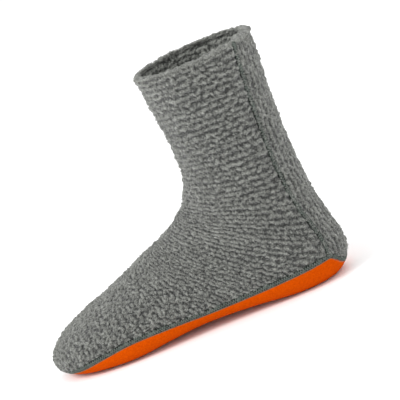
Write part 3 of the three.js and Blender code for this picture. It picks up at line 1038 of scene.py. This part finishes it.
def curl_paths(random, root, side, fore, out):
    """Arcs of up to three quarters of a turn, r cos a + r sin a along two ways that are turned at random
    in the cloth and tilted out of it. Each arc tightens, and bulges outwards in its middle."""
    turn = random.uniform(0, 2 * np.pi, len(root))[:, None]
    tilt = random.normal(0, CURL_TILT, len(root))[:, None]
    first = side * np.cos(turn) + fore * np.sin(turn)
    second = (fore * np.cos(turn) - side * np.sin(turn)) * np.cos(tilt) + out * np.sin(tilt)
    radius = random.uniform(*CURL_RADIUS, len(root))[:, None, None]
    opening = random.uniform(*CURL_OPENING, len(root))[:, None]
    share = np.linspace(0, 1, CURL_STEPS)
    angle = (opening * share)[..., None]
    shrink = 1 - CURL_SHRINK * share[None, :, None]
    path = shrink * radius * (np.cos(angle) * first[:, None] + np.sin(angle) * second[:, None])
    path = path - path.mean(1, keepdims=True) + root[:, None]
    rise = CURL_RISE + CURL_BULGE * np.sin(np.pi * share)
    return path + rise[None, :, None] * out[:, None]


# %% Tubes round the curls
CURL_THICK = (0.17, 0.31)  # millimetres from a tube's middle to its corners
# the curls are painted pale, from the middle colour up into the painted highlight of the tops
CURL_HIGHLIGHT_LEVEL = (0.6, 1.2)  # how pale the curls are, as heights of the pile
CORNERS = (0, 2.094, 4.189)  # thirds of a turn


def curls(name, front, height, low, high, count, seed):
    """Three-sided tubes round the curls' paths, which thin towards both ends by the fourth power."""
    random = np.random.default_rng(seed)
    root, side, fore, out = curl_roots(random, front, height, low, high, count)
    path = curl_paths(random, root, side, fore, out)
    ahead = unit(np.gradient(path, axis=1))
    rise = unit(out[:, None] - (out[:, None] * ahead).sum(2, keepdims=True) * ahead)
    across = np.cross(ahead, rise)
    taper = 1 - 0.6 * (2 * np.linspace(0, 1, CURL_STEPS) - 1) ** 4
    thick = random.uniform(*CURL_THICK, len(root))[:, None, None] * taper[None, :, None]
    corners = [path + thick * (math.cos(a) * rise + math.sin(a) * across) for a in CORNERS]
    points = np.stack(corners, axis=2)
    ids = np.arange(len(root) * CURL_STEPS * 3).reshape(-1, CURL_STEPS, 3)
    after = np.roll(ids, -1, axis=2)
    sides = np.stack([ids[:, :-1], after[:, :-1], after[:, 1:], ids[:, 1:]], -1).reshape(-1, 4)
    ends = np.concatenate([ids[:, 0, ::-1], ids[:, -1]])
    # painted highlight: each curl gets one pale level on the shared shading
    level = np.repeat(random.uniform(*CURL_HIGHLIGHT_LEVEL, len(root)), CURL_STEPS * 3)
    made = make_mesh(name, to_row_frame(points.reshape(-1, 3)), [sides, ends], fleece, level)
    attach(made, "root")


MARGIN = 3  # columns beside the seams that stay free of curls
CURLS, QUICK_CURLS = 5600, 2000  # on each side of the upper
curl_count = CURLS
middle_column = upper_columns // 2
curls("upper_curls_far", front, height, MARGIN, middle_column, curl_count, 1)
curls("upper_curls_near", front, height, middle_column, upper_columns - MARGIN, curl_count, 2)

# %% [markdown]
# ## The back panel
# A straight strip of the same fleece runs down the back of the leg and round the heel. It was cut
# along the rows, so its tufts stand in columns. The grid is the same function of place and angle, on
# the other side of the seams, and it ends in a point where the sole's edge dips behind the heel.

# %% Grid of the back panel
BACK_TOP, BACK_ROUND = 0.11, 54  # place where it begins, and millimetres round it
s_back = even_places(BACK_TOP, HEEL_PLACE - 0.0005, np.pi, fine_spacing)
half_angle = back_border(s_back)
back_columns = int(round(BACK_ROUND / fine_spacing / COARSER)) * COARSER + 1
angles = even_angles(s_back, half_angle, 2 * np.pi - half_angle, back_columns)
s_grid = s_back[:, None] + 0 * angles
base = outline(s_grid, angles)
across = lengths(base, 1)
across = across - across[:, back_columns // 2][:, None]
along = lengths(base[:, back_columns // 2], 0)[:, None] + 0 * across
from_edge = np.minimum(across - across[:, :1], across[:, -1:] - across)
# the two seams and the sole's edge run together in the tip, so the distance to it counts less
from_edge = np.minimum(from_edge, 0.8 * (along.max() - along))
from_edge = np.minimum(from_edge, along + TOP_MARGIN)
print("the back panel is", round(2 * across[0, -1]), "mm wide at the top,", round(along.max()), "mm long")

# %% Make the back panel
BACK_CURLS = 1700
height = pile(along, across + 400, 1.0, 21, droop=0.0) * sewn_flat(from_edge)
lift = fleece_lift(height, from_edge)
lift += soft_waves(base, 0.8, WAVE_LENGTH, WAVE_SEED) + lumps(along, across, 17)
lift -= sunk_edge(along, 1.2, 5.0)  # it is drawn in under the collar's edge
front = lifted(s_grid, angles, lift)
back = inner_grid(s_grid, angles, OUTER_WALL)
back_panel = shell("back_panel_fleece", front, back, fleece, height, tip=True)
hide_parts("back_panel")
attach(back_panel, "root")
curls("back_curls", front, height, MARGIN, back_columns - MARGIN, BACK_CURLS, 3)

# %% [markdown]
# ## The sole
# The sole is one panel of smooth cloth, turned up at the sides. Its border runs from the middle of
# the heel up to the corner of the back panel, along the side and round the toe. A flat sheet bent up
# by hand would leave its edge uneven, so the grid starts from the border itself: it runs from each
# point straight to the middle line under the foot, in places and angles, and on to the other side.


# %% The sole's border
def border_line(count):
    """Place and angle of the sole's border on the near side, evenly from the heel to the toe, and its
    length. It is first sampled closer and closer towards the toe, by the power 1.5."""
    rising = np.linspace(HEEL_PLACE, CORNER_PLACE, 400)[:-1]
    falling = CORNER_PLACE + (TOE_PLACE - CORNER_PLACE) * (1 - (1 - np.linspace(0, 1, 2400)) ** 1.5)
    heel_angles = back_border(rising)
    heel_angles[0] = np.pi
    side_angles = upper_border(falling)
    side_angles[-1] = np.pi
    s, angle = np.concatenate([rising, falling]), np.concatenate([heel_angles, side_angles])
    run = lengths(outline(s, angle), 0)
    wanted = np.linspace(0, run[-1], count)
    return np.interp(wanted, run, s), np.interp(wanted, run, angle), run[-1]


border_run = border_line(10)[2]
print("the sole's border is", round(2 * border_run), "mm long")

# %% Grid of the sole
SOLE_SPACING, SOLE_ROUND = 1.8, 118  # millimetres from point to point, and round it where it is widest
sole_rows = int(round(border_run / SOLE_SPACING / COARSER)) * COARSER + 1
s_edge, angle_edge, _ = border_line(sole_rows)
middle_places = np.linspace(HEEL_PLACE, TOE_PLACE, 3000)
middle_run = lengths(outline(middle_places, np.pi), 0)
s_middle = np.interp(np.linspace(0, middle_run[-1], sole_rows), middle_run, middle_places)
sole_columns = int(round(SOLE_ROUND / SOLE_SPACING / COARSER / 2)) * COARSER * 2 + 1
share = np.linspace(-1, 1, sole_columns)[None]
inward = 1 - np.abs(share)
s_grid = s_edge[:, None] + (s_middle - s_edge)[:, None] * inward
angles = angle_edge[:, None] + (np.pi - angle_edge)[:, None] * inward
angles = np.where(share < 0, angles, 2 * np.pi - angles)
base = outline(s_grid, angles)
run_across = lengths(base, 1)
from_edge = np.minimum(run_across, run_across[:, -1:] - run_across)
print("the sole is", round(middle_run[-1]), "mm long and up to", round(run_across.max()), "mm wide")

# %% [markdown]
# Small gathers stand along the seam where the cloth is eased round the foot: a sine along the border,
# of a strength that wanders, and strongest 5 mm from the edge. The nap is too short to be geometry.

# %% Make the sole
GATHER_DEPTH, GATHER_LENGTH = 0.32, 6.5  # millimetres
GATHER_LINE, GATHER_SPREAD = 5, 22  # millimetres from the edge, and millimetres squared
sole_cloth = cloth_material(
    "orange_sole_cloth", (176, 62, 0), (196, 74, 0), (206, 81, 0), 0.015, 1500.0, 0.12, 0.0, specular=0.03
)
border_place = np.linspace(0, border_run, sole_rows)[:, None]
wander = rolling(border_place, 0 * border_place, 14.0, 31)
gather = np.sin(2 * np.pi * border_place / GATHER_LENGTH + 3 * wander)
gather = gather * rolling(border_place, 7 + 0 * border_place, 23.0, 33)
lift = GATHER_DEPTH * gather * np.exp(-((from_edge - GATHER_LINE) ** 2) / GATHER_SPREAD)
lift = lift - sunk_edge(from_edge, 0.9, 2.4)
sideways = base[..., 1] + base[..., 2]
lift += 0.12 * (rolling(base[..., 0], sideways, 9.0, 41) - 0.5)
nap = rolling(base[..., 0], sideways, 1.4, 43)
front = lifted(s_grid, angles, lift)
back = inner_grid(s_grid, angles, OUTER_WALL, floor=OUTER_WALL)
sole = shell("sole_panel", front, back, sole_cloth, 0.45 + 0.15 * nap, start_tip=True, tip=True)
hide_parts("sole")
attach(sole, "root")

# %% [markdown]
# ## The inside
# The same fleece shows inside the collar, in the shadow of the leg, and there its colours are painted
# lighter, painted light that lifts that shadow. It is one tube that lines all the panels down to the toe,
# fine in the shaft, where it is seen, and coarser in the foot. The upper could carry the pile on both
# faces, but then the seams would show through on the inside.

# %% Make the inside face
# painted light: the inside's colours are paler than the outer fleece's, to lift the shade inside the
# collar
inner_fleece_painted_lighter = cloth_material(
    "inner_fleece_painted_lighter", (52, 54, 51), (142, 144, 138), (180, 182, 175), 0.1, 1100.0, 0.9, 0.2
)
SHAFT_TOP, SHAFT_END = 0.05, 4.2  # places between which the inside is seen
SHAFT_SPACING, FOOT_SPACING, INSIDE_ROUND = 1.15, 2.6, 236  # millimetres
INSIDE_RELIEF, INSIDE_LEVEL = 1.3, 0.6  # its pile stands inwards, and this share of it inside the wall
LINING_DEPTH = OUTER_WALL + 0.1  # the lining's other face lies just inside the panels' inner faces
shaft_spacing = SHAFT_SPACING * fine_spacing / FINE_SPACING
s_shaft = even_places(SHAFT_TOP, SHAFT_END, SIDE_ANGLE, shaft_spacing)
s_foot = even_places(SHAFT_END, LAST - 0.3, SIDE_ANGLE, FOOT_SPACING)
s_inside = np.concatenate([s_shaft, s_foot[1:]])
inside_columns = int(round(INSIDE_ROUND / shaft_spacing / COARSER)) * COARSER + 1
angles = even_angles(s_inside, 0 * s_inside, 2 * np.pi + 0 * s_inside, inside_columns)
s_grid = s_inside[:, None] + 0 * angles
along = lengths(outline(s_grid, angles), 1)
across = lengths(outline(s_inside, np.full_like(s_inside, SIDE_ANGLE)), 0)[:, None] + 0 * angles
height = pile(along, across + 900, 1.0, 51)
height[:, -1] = height[:, 0]
relief = -INSIDE_RELIEF * (height - INSIDE_LEVEL)
front = lifted(s_grid, angles, -WALL + 0 * height, floor=WALL, relief=relief)
back = inner_grid(s_grid, angles, LINING_DEPTH, floor=LINING_DEPTH)
front[-1], back[-1] = front[-1].mean(0), back[-1].mean(0)
inside = shell("inside_face", front, back, inner_fleece_painted_lighter, height, ring=True, tip=True)
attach(inside, "root")

# %% [markdown]
# ## The collar's edge
# There is no cuff: the fleece is turned in once and sewn, which leaves a round edge, a little smoother
# than the pile. It is a ring whose section is a circle with bumps, and it follows the first cut of the
# form. A bevelled curve would be as round, but it could not take the pile's bumps.

# %% Bumps of the collar's edge
RIM_RUN, RIM_RADIUS, SECTION_RADIUS = 295, 45, 2.6  # millimetres
DIP_DEPTH, DIP_WIDTH, FADE = 0.9, 2.6, 4  # millimetres
SECTION_POINTS = 20
ring_columns = 640
s_ring = np.zeros(1)
ring_angles = even_angles(s_ring, 0 * s_ring, 2 * np.pi + 0 * s_ring, ring_columns + 1)[0, :-1]
# the section starts at its lowest point, which lies hidden in the wall
section = np.linspace(-np.pi / 2, 1.5 * np.pi, SECTION_POINTS, endpoint=False)
run = np.linspace(0, RIM_RUN, ring_columns, endpoint=False)[:, None] + 0 * section
girth = SECTION_RADIUS * section[None] + 0 * run
# the bumps are faded out where the ring closes on itself, so that no step shows there
close = np.clip(np.minimum(run, RIM_RUN - run) / FADE, 0, 1)
hem_height = 0.5 + close * (pile(run, girth + 1200, 1.0, 71, droop=0.0) - 0.5)
bump = 1.8 * (hem_height - 0.5)
for size, scale, seed in ((1.3, 4.5, 63), (0.6, 13.0, 64)):
    bump += size * close * (rolling(run, 0 * run, scale, seed) - 0.5)
# the rim dips a little where the two back seams pull it together
seam_angle = back_border(s_ring)[0]
for place in (seam_angle, 2 * np.pi - seam_angle):
    bump -= DIP_DEPTH * np.exp(-(((ring_angles[:, None] - place) * RIM_RADIUS / DIP_WIDTH) ** 2))
print("bumps on the collar's edge from", round(bump.min(), 1), "to", round(bump.max(), 1), "mm")

# %% Make the collar's edge
hem_fleece = cloth_material(
    "hem_fleece", (44, 46, 43), (114, 116, 110), (156, 158, 151), 0.08, 1100.0, 0.9, 0.45
)
# on the back panel the edge is thicker and stands a little higher, because it is turned in over both
# seams, and its middle lies further inside: each pair is the size all round, and what is added there
THICK, INSIDE_BY, OVER_TOP = (2.5, 1.4), (0.5, 1.5), (0.2, 1.0)  # millimetres
BLEND = 0.5  # radians over which the edge changes, half of them to each side of a seam
from_back = np.abs(ring_angles[:, None] - np.pi)
on_back = np.clip((np.pi - seam_angle + BLEND / 2 - from_back) / BLEND, 0, 1)
on_back = on_back**2 * (3 - 2 * on_back)
thick = THICK[0] + THICK[1] * on_back
across_wall = -WALL / 2 - INSIDE_BY[0] - INSIDE_BY[1] * on_back + (thick + bump) * np.cos(section)
below_top = thick - OVER_TOP[0] - OVER_TOP[1] * on_back - (thick + bump) * np.sin(section)
row_length = (HEIGHT - ANKLE_HEIGHT) * (leg_rows[0, 0] - leg_rows[1, 0])
hem_points = lifted(below_top / row_length, ring_angles[:, None] + 0 * section, across_wall)
hem_faces = tube_faces(ring_columns, SECTION_POINTS, True)
# the edge's colour follows its bumps: painted shade in the dips and painted highlight on the bumps, kept
# above the darkest shade
hem_level = 0.35 + 0.65 * hem_height.ravel()
hem = make_mesh("collar_edge", to_row_frame(hem_points.reshape(-1, 3)), hem_faces, hem_fleece, hem_level)
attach(hem, "root")
COLLAR_CURLS, OUTER_COLUMNS = 1100, (4, 16)  # the points of the section that show
curls("collar_curls", hem_points, hem_height, *OUTER_COLUMNS, COLLAR_CURLS, 4)

# %% [markdown]
# ## Overlocked seams
# A flat overlocked seam is a narrow band of thread that lies in the pile. A curve with a bevel could
# draw it, but it would roll about its own path. So it is swept along the border of the panels: at each
# step the cloth gives the way out, the border the way along, and their cross product the way across.


# %% Lines of points
def smooth_line(values, count, closed):
    """The mean of each point and its neighbours to both sides, which rounds a corner."""
    mode = "wrap" if closed else "edge"
    padded = np.pad(values, [(count, count), (0, 0)], mode=mode)
    total = np.cumsum(np.concatenate([np.zeros((1, 3)), padded]), axis=0)
    return (total[2 * count + 1 :] - total[: -2 * count - 1]) / (2 * count + 1)


def along_path(points, closed):
    """The way along a line of points, from each one's neighbour behind to the one before it."""
    if closed:
        return unit(np.roll(points, -1, 0) - np.roll(points, 1, 0))
    return unit(np.gradient(points, axis=0))


def square_to(ahead, out):
    """The way out with its share along the path taken off."""
    return unit(out - (out * ahead).sum(1, keepdims=True) * ahead)


# %% Rails along a border
ROUNDING = 2.2  # millimetres to each side over which a corner is rounded


def rails(s, angle, closed, spacing, rise=0.0):
    """Points, ways out, ways across and running length at even steps along a line on the cloth. The
    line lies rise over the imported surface, and its corners are rounded."""
    out = surface_normal(s, angle)
    points = outline(s, angle) + out * np.broadcast_to(rise, s.shape)[:, None]
    points[:, 2] = np.maximum(points[:, 2], 0)
    if closed:
        points, out = np.concatenate([points, points[:1]]), np.concatenate([out, out[:1]])
    run = lengths(points, 0)
    wanted = np.linspace(0, run[-1], int(round(run[-1] / spacing)), endpoint=not closed)
    points = np.stack([np.interp(wanted, run, points[:, k]) for k in range(3)], 1)
    out = np.stack([np.interp(wanted, run, out[:, k]) for k in range(3)], 1)
    rounding = int(round(ROUNDING / spacing))
    points, out = smooth_line(points, rounding, closed), smooth_line(out, rounding, closed)
    ahead = along_path(points, closed)
    out = square_to(ahead, out)
    return points, out, np.cross(out, ahead), wanted


# %% Flat bands
STITCH = 2.1  # millimetres from stitch to stitch
BAND_POINTS = 9  # points across the top of a band
BAND_DOME, BAND_SUNK, BAND_DEPTH = 0.42, 0.45, 1.3  # millimetres
SLANT = 0.22  # stitches by which a ridge slants, for each millimetre across
seam_cloth = cloth_material(
    "seam_band", (18, 22, 19), (52, 58, 53), (98, 105, 99), 0.14, 1300.0, 0.8, 0.05
)


def swept(line, section_across, section_out):
    """Rings of points along a line: each ring is moved across and out from its point."""
    points, out, side = line[:3]
    moved = side[:, None] * section_across[..., None] + out[:, None] * section_out[..., None]
    return points[:, None] + moved


def band(name, s, angle, closed, node_name, rise=0.0):
    """The flat band of a seam. Its top is a low dome, the root of 1 - share squared, with a ridge at
    each stitch, the size of a slanting sine, and with bumps of rolling noise. Its underside is sunk.
    Gives the grid of its top."""
    line = rails(s, angle, closed, 0.5, rise)
    run = line[3][:, None]
    share = np.linspace(-1, 1, BAND_POINTS)
    across = np.concatenate([share, 0.9 * share[::-1]]) * SEAM_WIDTH / 2
    top_across = across[None, :BAND_POINTS]
    ridge = np.abs(np.sin(np.pi * (run / STITCH + SLANT * top_across)))
    tangled = rolling(run, top_across, 1.9, 81) - 0.5
    top = BAND_DOME * np.sqrt(1 - share**2) - BAND_SUNK
    top = top + (0.2 * ridge + 0.6 * tangled) * np.sqrt(1.001 - share**2)
    under = np.full(top.shape, -BAND_DEPTH)
    rings = swept(line, across[None], np.concatenate([top, under], axis=1))
    # the band's colour follows its relief: painted highlight on the stitch ridges and bumps, painted shade
    # between them
    level = np.concatenate([0.28 + 0.4 * ridge + 1.3 * tangled, np.full(top.shape, 0.2)], axis=1)
    faces = tube_faces(len(run), 2 * BAND_POINTS, closed)
    made = make_mesh(name, to_row_frame(rings.reshape(-1, 3)), faces, seam_cloth, level.ravel())
    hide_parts(node_name)
    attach(made, "root")
    return rings[:, :BAND_POINTS]


# %% [markdown]
# A zigzag of real thread lies over each band, and a finer, paler one catches the sole's edge. The thread
# is a tube with five sides, swept along its own path: across the band it follows a triangle wave, and
# it arches over the middle, so that it dips into the pile at both edges.

# %% Threads in zigzag
THREAD_REACH, THREAD_RADIUS = 1.9, 0.3  # millimetres
THREAD_SUNK, THREAD_SIDES = 0.32, 5
thread = cloth_material(
    "overlock_thread", (52, 57, 53), (98, 106, 100), (136, 142, 136), 0.14, 2500.0, 0.4, 0.1
)
pale_thread = cloth_material(
    "edge_thread", (112, 92, 70), (150, 124, 98), (172, 146, 120), 0.05, 2500.0, 0.4, 0.05
)


def stitches(
    name, s, angle, closed, material=thread, reach=THREAD_REACH, radius=THREAD_RADIUS, offset=0.0,
    height=0.42, rise=0.0,
):
    """A thread that zigzags over a seam: its place across is a triangle wave of its place along, and
    its height the root of 1 - three quarters of the wave squared."""
    points, out, side, run = rails(s, angle, closed, STITCH / 8, rise)
    phase = run / STITCH
    wave = 2 * np.abs(2 * (phase - np.floor(phase + 0.5))) - 1
    arch = height * np.sqrt(np.maximum(1 - 0.75 * wave**2, 0)) - THREAD_SUNK
    path = points + side * (offset + reach * wave)[:, None] + out * arch[:, None]
    ahead = along_path(path, closed)
    out = square_to(ahead, out)
    turn = np.linspace(0, 2 * np.pi, THREAD_SIDES, endpoint=False)[None]
    rings = swept((path, out, np.cross(out, ahead)), radius * np.sin(turn), radius * np.cos(turn))
    faces = tube_faces(len(path), THREAD_SIDES, closed)
    made = make_mesh(name, to_row_frame(rings.reshape(-1, 3)), faces, material, 0.6)
    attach(made, "root")


# %% The seam round the sole
s_near, angle_near, _ = border_line(2400)
s_loop = np.concatenate([s_near, s_near[-2:0:-1]])
angle_loop = np.concatenate([angle_near, 2 * np.pi - angle_near[-2:0:-1]])
band("sole_seam_band", s_loop, angle_loop, True, "sole_seam")
stitches("sole_seam_thread", s_loop, angle_loop, True)
stitches(
    "sole_edge_thread", s_loop, angle_loop, True, pale_thread, reach=0.3, radius=0.17, offset=2.15,
    height=0.2,
)

# %% [markdown]
# The two back seams run from the collar's edge to the corner of the sole. At the top each climbs over
# the turned edge and dives into it, so its end is hidden, as the real one is caught in the fold. Curls
# of fleece are caught in the stitches from under the collar all the way down, which makes these seams
# look speckled.

# %% The seams beside the back panel
s_seam = np.linspace(0.0, CORNER_PLACE, 900)
angle_seam = back_border(s_seam)
CAUGHT, CAUGHT_SEED = 300, 5  # curls on each seam
FREE_END = 0.04  # share of the seam's length, at the collar, without them
CAUGHT_COLUMNS = (2, 7)  # the middle of the band's top
CAUGHT_PILE = 0.7  # as on pile of this height
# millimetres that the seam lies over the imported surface, at four places from the collar down
over_hem = np.interp(s_seam, [0.0, 0.05, 0.13, 0.26], [-1.6, 0.3, 1.0, 0.0])
for word, angle in (("near", angle_seam), ("far", 2 * np.pi - angle_seam)):
    top = band("back_seam_band_" + word, s_seam, angle, False, "back_seam_" + word, over_hem)
    stitches("back_seam_thread_" + word, s_seam, angle, False, rise=over_hem)
    free = top[round(FREE_END * len(top)) :]
    even_pile = np.full(free.shape[:2], CAUGHT_PILE)
    curls("back_seam_curls_" + word, free, even_pile, *CAUGHT_COLUMNS, CAUGHT, CAUGHT_SEED)
